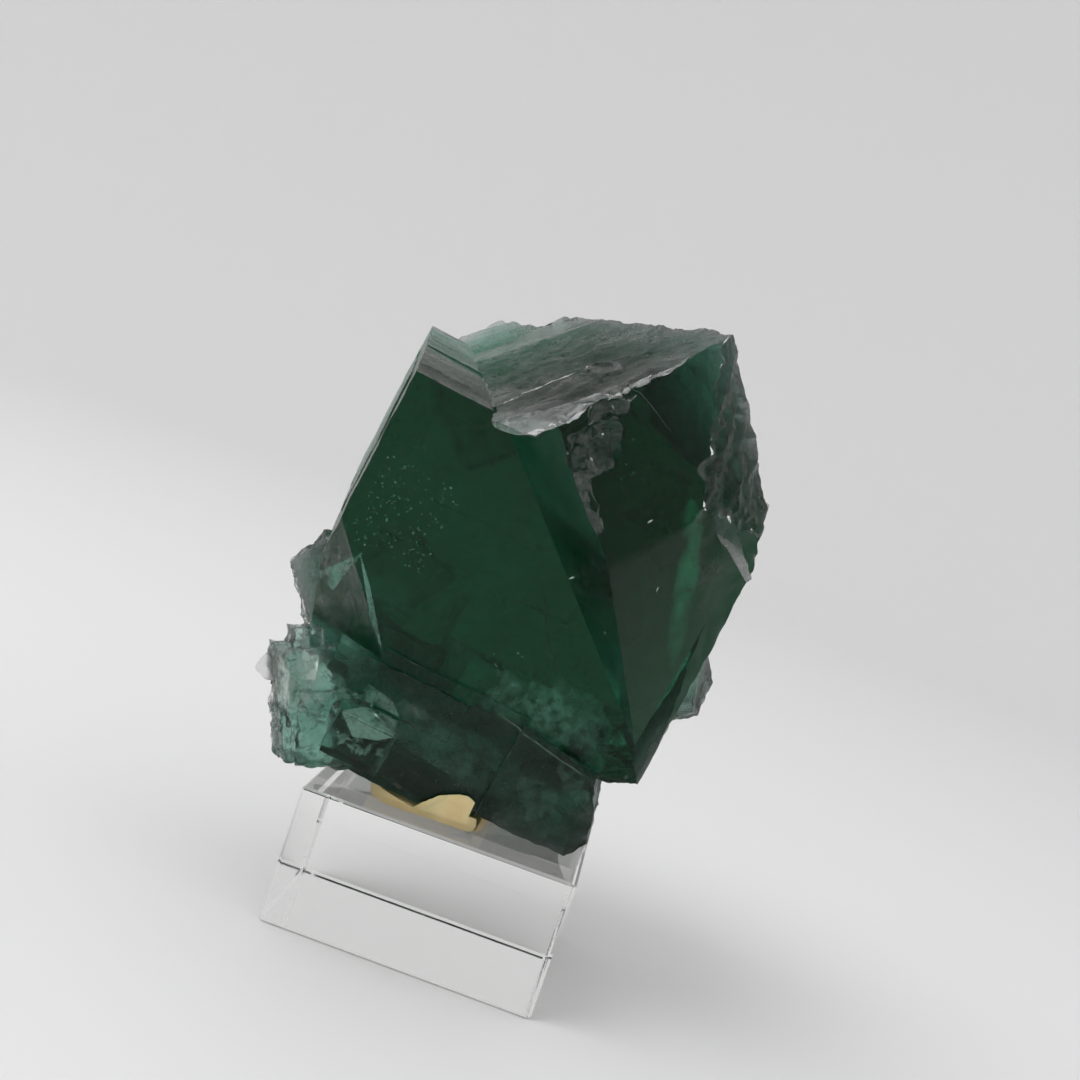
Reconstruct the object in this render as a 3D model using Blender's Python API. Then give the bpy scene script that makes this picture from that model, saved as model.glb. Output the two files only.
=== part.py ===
"""Fluorite cube cluster on a small clear base.

Two large crystals have grown through each other: a broad one, whose flat face is turned
to the viewer, and its twin, whose corner stands out of that face. Small cubes crowd their
foot. The cluster is pressed into a lump of mineral tack on a clear block.

Units are metres, +Z is up, -Y is the display side, and the origin is the centre of the
block's underside.
"""
import bpy
import bmesh
from math import copysign, cos, pi, radians, sin
from mathutils import Euler, Matrix, Vector, noise

MM = 0.001
GAP = 0.3 * MM

# Clear base block
BASE_SIDE = 20.0 * MM
BASE_HEIGHT = 10.0 * MM
BASE_CHAMFER = 0.2 * MM

# Broad crystal: upper left corner of its flat face in millimetres, its turn in degrees
# and its size. Its own x runs along the face, y into the depth and z up.
BROAD_CORNER = (-10.92, -13.0, 39.71)
BROAD_TURN = (7.6, 9.0, 11.0)
BROAD_SIZE = (26.8, 23.5, 19.9)

# Growth steps of the broad crystal, thin plates sunk in its faces: lower and upper corners
GROWTH_STEPS = (
    ((0.1, 11.0, -4.0), (6.0, 22.3, 0.14)),
    ((-0.12, 6.0, -12.5), (12.0, 22.0, -1.5)),
    ((9.0, 8.0, -17.4), (27.2, 23.0, -12.0)),
    ((3.0, 10.0, -15.0), (20.0, 24.1, -3.0)),
    ((6.0, 12.0, -11.0), (15.0, 24.5, -5.0)),
    ((1.2, 0.3, -22.2), (8.6, 9.0, -15.0)),
)

# Twin crystal: its raised right corner, its turn and its size. Its own x runs to the
# back, y down to the front left and z out of its top face.
TWIN_CORNER = (7.88, -12.59, 48.47)
TWIN_TURN = (-39.9, 4.2, 122.6)
TWIN_SIZE = (24.0, 13.9, 26.0)
TWIN_TAIL = ((12.0, 1.2, -9.0), (33.3, 8.2, -0.35))
TWIN_LIP = ((0.0, 8.0, -0.5), (9.5, 15.6, 0.0))

# Slanted foot face of the twin crystal: how far down it starts, and its tilt
CLEAVED_FROM = 10.2
CLEAVED_TILT = 20.5

# Foot crystals under the broad one: lower and upper corners in its own axes
FOOT_LEFT = ((6.8, -0.4, -27.0), (18.0, 15.0, -18.0))
FOOT_RIGHT = ((17.6, -0.9, -25.7), (25.8, 12.0, -17.0))
FOOT_BACK = ((12.0, 11.0, -25.2), (22.0, 20.0, -17.0))
FEET = (FOOT_LEFT, FOOT_RIGHT, FOOT_BACK)

# Plates at the left of the foot, in the broad crystal's axes: lower and upper corners
FRONT_BAR = ((3.8, -0.7, -22.0), (13.6, 6.0, -18.9))
FRONT_SHELF = ((5.7, -3.9, -25.2), (9.9, 8.0, -21.95))

# Small cubes in the part's frame: lower left front corner, turn and edges
SMALL_CUBES = {
    "left": ((-11.8, -12.0, 14.0), (-5.8, -18.7, 31.0), (5.2, 4.9, 5.1)),
    "left_low": ((-11.5, -11.6, 11.6), (-5.8, -18.7, 27.0), (6.0, 3.7, 3.4)),
    "nub": ((-13.6, -10.0, 18.4), (-8.0, -14.0, 24.0), (2.2, 2.2, 2.0)),
    "low": ((-10.6, -11.9, 11.6), (-3.0, -14.0, 14.0), (5.0, 5.5, 5.2)),
    "back": ((-9.5, 7.0, 17.5), (10.0, 4.0, 38.0), (6.5, 6.0, 7.0)),
    "heel": ((-2.0, 10.5, 15.2), (7.6, 9.0, 11.0), (8.5, 4.5, 9.5)),
}

# Small cubes in the broad crystal's axes, one at its left side and two at its back
TURNED_CUBES = {
    "wing": ((-1.6, 7.3, -17.8), (15.4, 34.1, -42.5), (5.2, 6.5, 5.0)),
    "rear_high": ((17.5, 21.0, -9.0), (20.0, -15.0, 35.0), (4.5, 4.0, 5.0)),
    "rear_low": ((5.0, 20.5, -17.0), (-10.0, 25.0, 15.0), (5.0, 5.0, 4.2)),
}

# Broken lumps in the part's frame: middle, half sizes, roughness and noise seed
CHUNK = ((11.5, 4.2, 24.0), (3.2, 3.2, 4.3), 0.35, 2.0)
ROOT = ((3.0, 6.5, 17.4), (8.0, 6.0, 4.6), 0.4, 11.0)

# Hollows in the twin crystal's axes: middle, half sizes and noise seed. Three lie under
# the lip, and the last is a shallow pit in the top face.
HOLLOWS = (
    ((-0.7, 12.1, -2.7), (1.8, 2.6, 1.9), 3.0),
    ((-0.3, 10.4, -0.9), (0.9, 1.7, 0.9), 5.0),
    ((-0.4, 14.2, -5.0), (1.0, 1.2, 3.2), 8.0),
    ((6.2, 6.8, 0.35), (2.2, 1.1, 0.6), 4.0),
)
HOLLOW_ROUGHNESS = 0.25

# Side of the block that cuts a flat face, larger than the whole cluster
CUTTER_SIDE = 120.0

# Pressed tack: middle and half sides of its outline on the block, how square the outline
# is, and its rings, each with its rise and its spread
TACK_MIDDLE = (-1.75, -2.6)
TACK_HALF = (4.4, 5.8)
TACK_SQUARENESS = 0.4
TACK_RINGS = ((0.0, 0.97), (0.5, 1.0), (1.9, 0.99), (3.6, 0.9))
TACK_SIDES = 40


def placed(corner, turn):
    """Matrix that puts a crystal's own corner and axes in the part's frame."""
    angles = Euler([radians(angle) for angle in turn])
    return Matrix.Translation(Vector(corner) * MM) @ angles.to_matrix().to_4x4()


HERE = Matrix.Identity(4)
BROAD = placed(BROAD_CORNER, BROAD_TURN)
TWIN = placed(TWIN_CORNER, TWIN_TURN)


def solid(name, fill):
    """New object whose mesh is made by fill."""
    mesh = bpy.data.meshes.new(name)
    shape = bmesh.new()
    fill(shape)
    bmesh.ops.recalc_face_normals(shape, faces=shape.faces)
    shape.to_mesh(mesh)
    shape.free()
    piece = bpy.data.objects.new(name, mesh)
    bpy.context.scene.collection.objects.link(piece)
    return piece


def box(name, frame, low, high, margin=0.0):
    """Box between two corners in a crystal's own axes, grown by margin on every side."""
    grow = Vector((margin, margin, margin))
    low = Vector(low) * MM - grow
    high = Vector(high) * MM + grow
    size = Matrix.Diagonal((*(high - low), 1.0))
    place = frame @ Matrix.Translation((low + high) / 2) @ size
    return solid(name, lambda shape: bmesh.ops.create_cube(shape, size=1.0, matrix=place))


def lump(name, place, radii, roughness, seed, levels=2):
    """Closed lump with broken facets: a ball of triangles pushed in and out by noise."""

    def fill(shape):
        bmesh.ops.create_icosphere(shape, subdivisions=levels, radius=1.0)
        for vert in shape.verts:
            broad_push = noise.noise(vert.co * 1.7 + Vector((seed, seed, seed)))
            fine_push = noise.noise(vert.co * 4.1 - Vector((seed, 0.0, seed)))
            reach = 1.0 + roughness * (broad_push + 0.5 * fine_push)
            vert.co = place @ Vector([vert.co[i] * radii[i] * reach * MM for i in range(3)])

    return solid(name, fill)


def settle(body):
    """Replace a body's mesh by what its modifiers make of it, in triangles."""
    body.modifiers.new("Triangles", "TRIANGULATE")
    view = body.evaluated_get(bpy.context.evaluated_depsgraph_get())
    body.data = bpy.data.meshes.new_from_object(view)
    body.modifiers.clear()


def cut(body, tool):
    """Cut a tool out of a body and drop the tool."""
    change = body.modifiers.new("Cut", "BOOLEAN")
    change.operation = "DIFFERENCE"
    change.object = tool
    change.solver = "EXACT"
    settle(body)
    bpy.data.objects.remove(tool)


def fuse(name, pieces):
    """Grow overlapping pieces into one body."""
    body = pieces[0]
    others = bpy.data.collections.new("others")
    for piece in pieces[1:]:
        others.objects.link(piece)
    change = body.modifiers.new("Fuse", "BOOLEAN")
    change.operation = "UNION"
    change.operand_type = "COLLECTION"
    change.collection = others
    change.solver = "EXACT"
    settle(body)
    for piece in pieces[1:]:
        bpy.data.objects.remove(piece)
    bpy.data.collections.remove(others)
    body.name = name
    return body


def cleave(piece, frame, point, normal):
    """Cut a piece flat; point and normal are in a crystal's own axes, and the side that
    the normal points to goes."""
    direction = (frame.to_3x3() @ Vector(normal)).normalized()
    facing = direction.to_track_quat("Z", "X").to_matrix().to_4x4()
    face = Matrix.Translation(frame @ (Vector(point) * MM)) @ facing
    half = CUTTER_SIDE / 2
    cut(piece, box("cutter", face, (-half, -half, 0.0), (half, half, half)))


def broad_crystal():
    """Broad crystal with low growth steps, and its lower left corner missing."""
    width, depth, height = BROAD_SIZE
    bounds = (((0.0, 0.0, -height), (width, depth, 0.0)),) + GROWTH_STEPS
    body = fuse("broad", [box("layer", HERE, low, high) for low, high in bounds])
    cleave(body, HERE, (0.2, 0.0, -14.9), (-0.96, 0.0, -0.28))
    cleave(body, HERE, (1.9, 0.0, -13.3), (-0.38, -0.86, -0.346))
    body.data.transform(BROAD)
    return body


def twin_crystal():
    """Twin crystal: body with its slanted foot face, overhanging lip and lower tail."""
    length, width, height = TWIN_SIZE
    lip = box("lip", HERE, *TWIN_LIP)
    cleave(lip, HERE, (6.0, 15.6, 0.0), (0.55, 0.83, 0.0))
    main = box("main", HERE, (0.0, 0.0, -height), (length, width, 0.0))
    body = fuse("twin", [main, lip, box("tail", HERE, *TWIN_TAIL)])
    tilt = radians(CLEAVED_TILT)
    cleave(body, HERE, (0.0, 0.0, -CLEAVED_FROM), (-cos(tilt), 0.0, -sin(tilt)))
    # Light facet that falls from the top face to the near edge
    cleave(body, HERE, (0.0, 9.0, 0.0), (-0.082, 0.058, 1.0))
    body.data.transform(TWIN)
    # The foot stops inside the broad crystal's underside and right end
    cleave(body, BROAD, (0.0, 0.0, 0.4 - BROAD_SIZE[2]), (0.0, 0.0, -1.0))
    cleave(body, BROAD, (BROAD_SIZE[0] - 0.3, 0.0, 0.0), (1.0, 0.0, 0.0))
    return body


def break_right_side(body):
    """Broken side at the right: a shallow face above, a steep one below and the ends."""
    cleave(body, TWIN, (0.0, 3.9, -5.1), (-0.935, -0.31, -0.17))
    cleave(body, BROAD, (19.9, -3.8, 0.0), (0.653, -0.751, 0.1))
    cleave(body, BROAD, (26.2, 3.0, -0.9), (0.96, 0.0, 0.28))
    cleave(body, BROAD, (24.3, 0.0, -19.8), (0.4, 0.0, -0.917))


def chip_twin(body):
    """Shell-shaped hollows in the twin crystal."""
    for middle, radii, seed in HOLLOWS:
        place = TWIN @ Matrix.Translation(Vector(middle) * MM)
        cut(body, lump("hollow", place, radii, HOLLOW_ROUGHNESS, seed, levels=3))


def foot_crystals():
    """Foot crystals: left one with a rising end, right one with its corner broken off."""
    left, right, back = (box("foot", BROAD, low, high) for low, high in FEET)
    cleave(left, BROAD, (15.4, 0.0, -27.0), (0.5, 0.0, -0.86))
    cleave(right, BROAD, (24.5, 0.0, -25.9), (0.85, -0.1, -0.52))
    cleave(right, BROAD, (25.5, 0.0, -23.2), (0.91, -0.2, 0.35))
    cleave(right, BROAD, (24.0, 0.0, -19.4), (0.148, 0.0, 0.989))
    return [left, right, back]


def small_crystals():
    """Plates and small cubes at the foot, the left side and the back."""
    plates = [box("plate", BROAD, low, high) for low, high in (FRONT_BAR, FRONT_SHELF)]
    upright = [
        box(name, placed(corner, turn), (0.0, 0.0, 0.0), size)
        for name, (corner, turn, size) in SMALL_CUBES.items()]
    turned = [
        box(name, BROAD @ placed(corner, turn), (0.0, 0.0, 0.0), size)
        for name, (corner, turn, size) in TURNED_CUBES.items()]
    return plates + upright + turned


def broken_lump(name, middle, radii, roughness, seed):
    """Rough broken lump round a middle in the part's frame."""
    return lump(name, Matrix.Translation(Vector(middle) * MM), radii, roughness, seed)


def fluorite_cluster():
    """All the crystals, grown into one body."""
    large = fuse("large", [broad_crystal(), twin_crystal()])
    break_right_side(large)
    broken = [broken_lump("chunk", *CHUNK), broken_lump("root", *ROOT)]
    body = fuse("fluorite_cluster", [large] + foot_crystals() + small_crystals() + broken)
    chip_twin(body)
    return body


def tack_ring(shape, rise, spread):
    """Ring of the tack: a rounded rectangle, spread from its middle, at a rise."""
    ring = []
    for index in range(TACK_SIDES):
        turn = 2 * pi * index / TACK_SIDES
        across = copysign(abs(cos(turn)) ** TACK_SQUARENESS, cos(turn)) * TACK_HALF[0] * spread
        along = copysign(abs(sin(turn)) ** TACK_SQUARENESS, sin(turn)) * TACK_HALF[1] * spread
        spot = Vector((TACK_MIDDLE[0] + across, TACK_MIDDLE[1] + along, rise)) * MM
        spot.z += BASE_HEIGHT + GAP
        ring.append(shape.verts.new(spot))
    return ring


def mineral_tack():
    """Pressed lump of tack between the clear block and the foot crystals."""

    def fill(shape):
        rings = [tack_ring(shape, rise, spread) for rise, spread in TACK_RINGS]
        for lower, upper in zip(rings, rings[1:]):
            for index in range(TACK_SIDES):
                after = (index + 1) % TACK_SIDES
                shape.faces.new((lower[index], lower[after], upper[after], upper[index]))
        shape.faces.new(rings[0])
        shape.faces.new(rings[-1])

    tack = solid("mineral_tack", fill)
    for low, high in FEET:
        cut(tack, box("print", BROAD, low, high, margin=GAP))
    return tack


def acrylic_base():
    """Clear block with fine polished edges."""
    place = Matrix.Translation((0.0, 0.0, BASE_HEIGHT / 2))
    size = Matrix.Diagonal((BASE_SIDE, BASE_SIDE, BASE_HEIGHT, 1.0))
    base = solid(
        "acrylic_base",
        lambda shape: bmesh.ops.create_cube(shape, size=1.0, matrix=place @ size))
    edge = base.modifiers.new("Polished edges", "BEVEL")
    edge.width = BASE_CHAMFER
    edge.segments = 1
    return base


def finish(piece, colour, roughness):
    """Give a piece its own plain material."""
    material = bpy.data.materials.new(piece.name)
    material.use_nodes = True
    shader = material.node_tree.nodes["Principled BSDF"]
    shader.inputs["Base Color"].default_value = (*colour, 1.0)
    shader.inputs["Roughness"].default_value = roughness
    shader.inputs["Metallic"].default_value = 0.0
    piece.data.materials.clear()
    piece.data.materials.append(material)


for leftover in list(bpy.data.objects):
    bpy.data.objects.remove(leftover)

finish(fluorite_cluster(), (0.02, 0.11, 0.07), 0.15)
finish(mineral_tack(), (0.75, 0.62, 0.33), 0.6)
finish(acrylic_base(), (0.85, 0.88, 0.88), 0.03)
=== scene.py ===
"""Fluorite cluster on a clear block: surfaces, finishes, studio and camera.

Everything is in metres, in the part's frame: +Z up, -Y towards the display side.
"""

from math import radians

import bpy
import numpy as np
from mathutils import Euler, Matrix, Vector


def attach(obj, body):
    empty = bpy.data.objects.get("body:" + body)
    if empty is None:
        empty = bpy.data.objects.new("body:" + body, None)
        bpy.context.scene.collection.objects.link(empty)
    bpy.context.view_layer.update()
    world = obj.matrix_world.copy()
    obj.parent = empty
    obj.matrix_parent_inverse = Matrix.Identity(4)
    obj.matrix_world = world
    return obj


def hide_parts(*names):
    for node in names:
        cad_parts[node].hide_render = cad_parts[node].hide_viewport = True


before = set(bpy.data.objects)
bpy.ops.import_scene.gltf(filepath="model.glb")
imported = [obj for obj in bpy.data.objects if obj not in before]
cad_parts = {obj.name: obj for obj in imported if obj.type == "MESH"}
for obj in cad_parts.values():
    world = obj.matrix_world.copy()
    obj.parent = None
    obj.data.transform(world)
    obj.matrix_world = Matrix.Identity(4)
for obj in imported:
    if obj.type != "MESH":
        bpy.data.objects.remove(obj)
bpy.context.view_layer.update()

MM = 0.001

# Least length that a direction is divided by, and the cosine of two and a half degrees,
# within which two directions count as one
TINY = 1e-18
SAME_WAY = 0.999

# Corner and turn of the two large crystals, as in the part's source, in mm and degrees
BROAD_CORNER = (-10.92, -13.0, 39.71)
BROAD_TURN = (7.6, 9.0, 11.0)
TWIN_CORNER = (7.88, -12.59, 48.47)
TWIN_TURN = (-39.9, 4.2, 122.6)

# Bend from which an edge stays sharp, in degrees: on the crystal's skin, on smooth pieces,
# and on sheets and threads
SHARP_EDGE = 24.0
SMOOTH_EDGE = 40.0
SHEET_EDGE = 60.0

# Clear green of the crystal: colour of the absorption, and its density for each metre
GREEN_LEFT = (0.10, 0.58, 0.44)
GREEN_DENSITY = 300.0
FLUORITE_IOR = 1.434
ACRYLIC_IOR = 1.49

# Faces of the crystal: strength of the plain shine, the pale film on it, the tone of the dark
# dust and of the painted shade, and the size and depth in metres of the fine grain
DULL_SHINE = (0.45, 0.45, 0.45, 1.0)
FILM_IOR = 2.1
FILM_ROUGHNESS = 0.5
CLEAN_TONE = (1.0, 1.0, 1.0)
DUST_AND_SHADE_TONE = (0.06, 0.05, 0.045)
GRAIN_SIZE = 3600.0
GRAIN_DEPTH = 0.00012

# Most times that light is followed: in all, through clear pieces and off glossy ones
BOUNCES = (12, 12, 6)

# Space under the block, so that its underside and the floor don't lie in one plane
FLOOR_GAP = 0.03 * MM

# Camera in the part's frame: place in mm, and its right, down and forward directions
CAMERA_PLACE = (7.37, -116.44, 41.6)
CAMERA_RIGHT = (0.9422, 0.0957, 0.3211)
CAMERA_DOWN = (0.3279, -0.0675, -0.9423)
CAMERA_FORWARD = (-0.0685, 0.9931, -0.095)
CAMERA_LENS = 53.33
SENSOR = 36.0
CAMERA_CLIP = (0.005, 10.0)


# Numbers and noise over whole arrays


def own_axes(corner, turn):
    """Corner and axes of a crystal as arrays: the axes are the columns of its turn."""
    axes = np.array(Euler([radians(angle) for angle in turn]).to_matrix())
    return np.array(corner) * MM, axes


def to_own(points, crystal):
    """Points in a crystal's own axes, in millimetres: the offset from its corner, turned back."""
    corner, axes = crystal
    return (points - corner) @ axes / MM


def unit(ways):
    """Directions made one long: each divided by its length."""
    return ways / np.maximum(np.linalg.norm(ways, axis=-1), TINY)[..., None]


def cell_value(cells, seed):
    """Even random value from 0 to 1 for each whole-number cell: its three numbers are each
    multiplied by a large odd number, added and folded."""
    mixed = cells[..., 0] * 374761393 + cells[..., 1] * 668265263 + cells[..., 2] * 974634777
    mixed = (mixed + seed * 1442695041) & 0xFFFFFFFF
    mixed = ((mixed ^ (mixed >> 13)) * 1274126177) & 0xFFFFFFFF
    return ((mixed ^ (mixed >> 16)) & 0xFFFFFF) / float(0xFFFFFF)


def soft_noise(points, size, seed=0):
    """Smooth noise from -1 to 1: values at the corners of cells of a size, blended with the
    curve 3t^2 - 2t^3 along each axis."""
    place = np.asarray(points) / size
    base = np.floor(place).astype(np.int64)
    part = place - base
    part = part * part * (3.0 - 2.0 * part)
    total = 0.0
    for corner in np.ndindex(2, 2, 2):
        share = np.prod(np.where(corner, part, 1.0 - part), axis=-1)
        total = total + share * cell_value(base + np.array(corner), seed)
    return total * 2.0 - 1.0


def layered_noise(points, size, seed=0, layers=3):
    """Sum of smooth noises, each at half the size and half the height of the last."""
    points = np.asarray(points)
    return sum(soft_noise(points, size / 2 ** k, seed + k) / 2 ** k for k in range(layers))


def mounds(points, size, seed=0):
    """Height from 0 to 1 that falls away from scattered middles: one less the distance to the
    nearest random point, one to each cell of a size."""
    place = np.asarray(points) / size
    base = np.floor(place).astype(np.int64)
    nearest = np.full(len(place), 9.0)
    for shift in np.ndindex(3, 3, 3):
        cell = base + np.array(shift) - 1
        spot = np.stack([cell_value(cell, seed + k) for k in range(3)], axis=-1)
        nearest = np.minimum(nearest, np.linalg.norm(place - cell - spot, axis=-1))
    return np.clip(1.0 - nearest, 0.0, 1.0)


def terraces(height, rise):
    """Height made into steps: whole rises, joined by a straight ramp over the last quarter."""
    scaled = height / rise
    base = np.floor(scaled)
    ramp = np.clip((scaled - base - 0.75) / 0.25, 0.0, 1.0)
    return (base + ramp) * rise


def fade(value, low, high):
    """0 below low, 1 above high and a smooth curve between."""
    share = np.clip((value - low) / (high - low), 0.0, 1.0)
    return share * share * (3.0 - 2.0 * share)


# Meshes

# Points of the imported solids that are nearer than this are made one
MERGE_REACH = 0.002 * MM


def mesh_piece(name, points, faces, smooth_under=None):
    """New piece from an array of points and its faces; with smooth_under, it is smooth apart
    from edges bent by more degrees than that."""
    mesh = bpy.data.meshes.new(name)
    faces = faces.tolist() if isinstance(faces, np.ndarray) else faces
    mesh.from_pydata(points.tolist(), [], faces)
    if smooth_under is not None:
        mesh.shade_smooth()
        mesh.set_sharp_from_angle(angle=radians(smooth_under))
    piece = bpy.data.objects.new(name, mesh)
    bpy.context.scene.collection.objects.link(piece)
    return piece


def set_inner(piece, values):
    """Value at each point of a piece that tells how far from its rim it lies: 0 at the rim."""
    layer = piece.data.attributes.new("inner", "FLOAT", "POINT")
    layer.data.foreach_set("value", values.astype(np.float32))


def merged_triangles(node):
    """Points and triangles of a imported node, with the points that lie together made one."""
    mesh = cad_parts[node].data
    mesh.calc_loop_triangles()
    points = np.empty(len(mesh.vertices) * 3)
    mesh.vertices.foreach_get("co", points)
    triangles = np.empty(len(mesh.loop_triangles) * 3, dtype=np.int64)
    mesh.loop_triangles.foreach_get("vertices", triangles)
    points = points.reshape(-1, 3)
    places = np.round(points / MERGE_REACH).astype(np.int64)
    _, first, back = np.unique(places, axis=0, return_index=True, return_inverse=True)
    triangles = back.reshape(-1)[triangles].reshape(-1, 3)
    whole = (triangles != np.roll(triangles, 1, axis=1)).all(axis=1)
    return points[first], triangles[whole]


def edge_list(triangles, count):
    """Edges of triangles without repeats, and which edge lies from each corner to the next."""
    ends = np.stack([triangles, np.roll(triangles, -1, axis=1)], axis=-1)
    keys = ends.min(axis=-1) * count + ends.max(axis=-1)
    single, back = np.unique(keys, return_inverse=True)
    return np.stack([single // count, single % count], axis=1), back.reshape(-1, 3)


def refined(points, triangles, longest):
    """Triangles cut until no edge is over its triangle's length: each pass halves the longest
    edge of every triangle that is too long, and cuts its neighbours to match. The third
    result tells from which triangle each one came."""
    source = np.arange(len(triangles))
    while True:
        edges, sides = edge_list(triangles, len(points))
        length = np.linalg.norm(points[edges[:, 0]] - points[edges[:, 1]], axis=1)
        longest_side = length[sides].argmax(axis=1)
        over = length[sides].max(axis=1) > longest[source]
        if not over.any():
            return points, triangles, source
        halved = np.zeros(len(edges), dtype=bool)
        halved[sides[over, longest_side[over]]] = True
        middle = np.full(len(edges), -1)
        middle[halved] = len(points) + np.arange(halved.sum())
        points = np.concatenate([points, points[edges[halved]].mean(axis=1)])
        triangles, source = split_triangles(triangles, middle[sides], source)


def split_triangles(triangles, middles, source):
    """Triangles cut at the middles of their sides, -1 for a side that stays whole."""
    count = (middles >= 0).sum(axis=1)
    # Turned so that one cut lies on the first side, and two on the first and second
    turn = np.where(count == 2, (middles < 0).argmax(axis=1) + 1, (middles >= 0).argmax(axis=1))
    order = (np.arange(3) + turn[:, None]) % 3
    corner = np.take_along_axis(triangles, order, axis=1).T
    middle = np.take_along_axis(middles, order, axis=1).T
    a, b, c = corner
    ab, bc, ca = middle
    cuts = {
        0: [(a, b, c)],
        1: [(a, ab, c), (ab, b, c)],
        2: [(ab, b, bc), (a, ab, bc), (a, bc, c)],
        3: [(a, ab, ca), (ab, b, bc), (ca, bc, c), (ab, bc, ca)],
    }
    made = [
        (np.stack(three, axis=1)[count == k], source[count == k])
        for k, all_three in cuts.items() for three in all_three]
    return np.concatenate([m[0] for m in made]), np.concatenate([m[1] for m in made])


def triangle_normals(points, triangles):
    """Outward direction of each triangle, as long as twice its area."""
    a, b, c = points[triangles].transpose(1, 0, 2)
    return np.cross(b - a, c - a)


def mean_ways(places, normals, count):
    """Direction at each place: the sum of those of its triangles, made one long."""
    return unit(np.stack([
        np.bincount(places, weights=normals[:, k], minlength=count) for k in range(3)], axis=1))


# Faces of the crystals


BROAD = own_axes(BROAD_CORNER, BROAD_TURN)
TWIN = own_axes(TWIN_CORNER, TWIN_TURN)

# Kinds of crystal face: roughness, strength of the fine grain, shares of pale film and of dark
# dust, height and size of the coarse relief in mm, and longest edge of the skin's triangles
FIELDS = ("rough", "grain", "film", "dust_and_shade", "rise", "size", "edge")
KINDS = {
    "hidden": (0.75, 1.0, 0.20, 0.00, 0.20, 2.6, 0.78),
    "broad_front": (0.05, 0.05, 0.00, 0.00, 0.012, 3.0, 0.90),
    "broad_top": (0.22, 0.6, 0.02, 0.45, 0.06, 1.6, 0.34),
    "broad_left": (0.30, 0.6, 0.20, 0.15, 0.08, 1.8, 0.60),
    "twin_top": (0.40, 1.2, 0.05, 0.40, 0.12, 1.1, 0.32),
    "twin_light": (0.50, 1.2, 0.95, 0.10, 0.12, 0.8, 0.28),
    "twin_front": (0.06, 0.06, 0.00, 0.00, 0.014, 3.0, 0.55),
    "twin_foot": (0.10, 0.10, 0.00, 0.00, 0.015, 3.0, 0.90),
    "twin_band": (0.18, 0.08, 0.24, 0.10, 0.015, 3.0, 0.80),
    "right_break": (0.12, 0.30, 0.05, 0.45, 0.42, 1.8, 0.30),
    "right_low": (0.10, 0.2, 0.00, 0.00, 0.12, 2.4, 0.48),
    "small_front": (0.14, 0.4, 0.04, 0.55, 0.08, 1.2, 0.42),
    "pale_cube": (0.16, 0.7, 0.24, 0.22, 0.24, 0.9, 0.32),
    "corner_facet": (0.12, 0.3, 0.42, 0.30, 0.03, 2.0, 0.60),
    "pit": (0.15, 0.3, 0.00, 0.90, 0.02, 2.0, 0.30),
    "broken": (0.20, 0.8, 0.45, 0.30, 0.18, 0.9, 0.36),
}
KIND_NAMES = list(KINDS)
KIND_VALUES = {
    field: np.array([row[place] for row in KINDS.values()])
    for place, field in enumerate(FIELDS)}

# Directions of the broken, cut and leaning faces, in the axes of the crystal that they belong to
TWIN_FOOT = (-0.9367, 0.0, -0.3502)
TWIN_BREAK = (-0.935, -0.31, -0.17)
BROAD_BREAKS = ((0.96, 0.0, 0.28), (0.4, 0.0, -0.917))
BROAD_LOW = (0.653, -0.751, 0.1)
BROAD_CORNERS = ((-0.96, 0.0, -0.28), (-0.38, -0.86, -0.346))
TWIN_LIGHT = (-0.082, 0.058, 1.0)

# Shallow pit in the twin's top face, in its axes in mm: its middle and reach, and the half
# lengths of the smooth dark lens round it
PIT = (6.2, 6.8, 0.0)
PIT_REACH = (2.4, 1.4, 1.2)
LENS_REACH = (2.1, 0.9)

# Box in mm that holds the pale cubes at the left of the foot, and the spot of their painted
# highlight
PALE_LOW = (-20.0, -20.0, 10.0)
PALE_HIGH = (-5.6, -4.0, 21.6)
HIGHLIGHT_SPOT = (-12.9, -11.7, 17.4)

# In the broad crystal's axes in mm: where the whole cubes at the back begin, in depth and
# height, and the height under which a front face belongs to the foot
REAR_DEPTH = 19.5
REAR_HEIGHT = -18.5
FOOT_TOP = -18.8

# Painted shade on the hidden faces and on the foot's, a dark tone that dims the light shining
# through them: its most, and between which depths behind the broad front, or heights, it comes
# in, in mm with the sign turned
HIDDEN_SHADE, SHADE_DEPTHS = 0.45, (-28.0, -18.0)
FOOT_SHADE, SHADE_HEIGHTS = 0.75, (-21.0, -17.0)

# Twice the area in square metres up to which an askew triangle is part of a rough break
BREAK_AREA = 8e-6


def facing(ways, way):
    """True where directions are the same as one way."""
    return ways @ unit(np.array(way)) > SAME_WAY


def is_kind(kind, *labels):
    """True where a kind is one of those named."""
    return np.isin(kind, [KIND_NAMES.index(label) for label in labels])


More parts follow.
